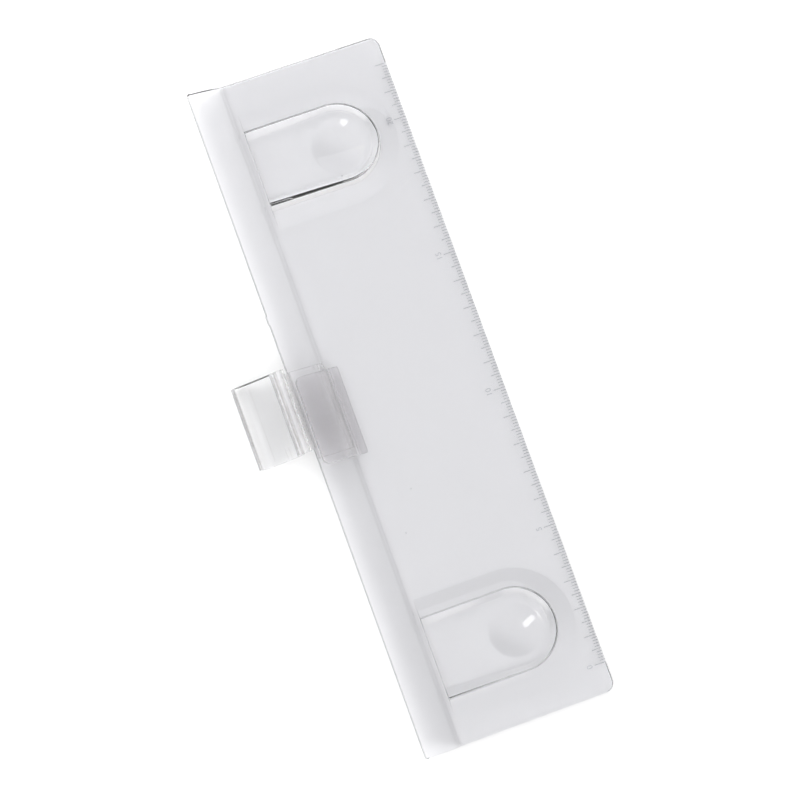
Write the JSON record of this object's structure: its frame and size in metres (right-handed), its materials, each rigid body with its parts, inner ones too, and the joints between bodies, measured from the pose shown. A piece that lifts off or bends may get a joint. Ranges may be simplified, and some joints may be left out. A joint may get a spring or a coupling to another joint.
{
  "type": "monitor copy holder",
  "caption": "Clear moulded copy holder: flat sheet with a ruler edge, sprung paper tongues with thumb dimples, and a hinged adhesive bracket on a crowned flange.",
  "frame": {"origin": "middle of the sheet's flat underside, halfway along it and halfway across sheet and flange", "axes": "+X across to the ruler edge, +Y along the sheet to the high end of the scale, +Z out of the face that carries the paper"},
  "size_m": [0.0896, 0.24, 0.0128],
  "materials": {
    "clear_plastic": "clear moulded polystyrene, polished",
    "clear_clip": "clear extruded profile, polished",
    "graduation": "raised moulded marks",
    "clear_adhesive": "clear acrylic gel tape"
  },
  "bodies": {
    "panel": {"panel": "clear_plastic", "ruler_graduations": "graduation", "retaining_hook": "clear_clip"},
    "upper_tongue": {"upper_tongue": "clear_plastic"},
    "lower_tongue": {"lower_tongue": "clear_plastic"},
    "leaf": {"hinge_leaf": "clear_clip"},
    "bracket": {"mount_bracket": "clear_clip", "adhesive_pad": "clear_adhesive"}
  },
  "joints": [
    {"name": "upper_tongue_flex", "type": "hinge", "parent": "panel", "child": "upper_tongue", "pos_m": [-0.02, 0.0878, 0.002], "axis": [0, -1, 0], "range_deg": [0, 10], "stiffness_Nm_per_rad": 3},
    {"name": "lower_tongue_flex", "type": "hinge", "parent": "panel", "child": "lower_tongue", "pos_m": [-0.02, -0.0893, 0.002], "axis": [0, -1, 0], "range_deg": [0, 10], "stiffness_Nm_per_rad": 3},
    {"name": "leaf_slide", "type": "slide", "parent": "panel", "child": "leaf", "axis": [0, 1, 0], "range_m": [-0.012, 0.012]},
    {"name": "bracket_hinge", "type": "hinge", "parent": "leaf", "child": "bracket", "pos_m": [-0.03834, 0.005, 0.00989], "axis": [0, 1, 0], "range_deg": [-60, 30]}
  ]
}
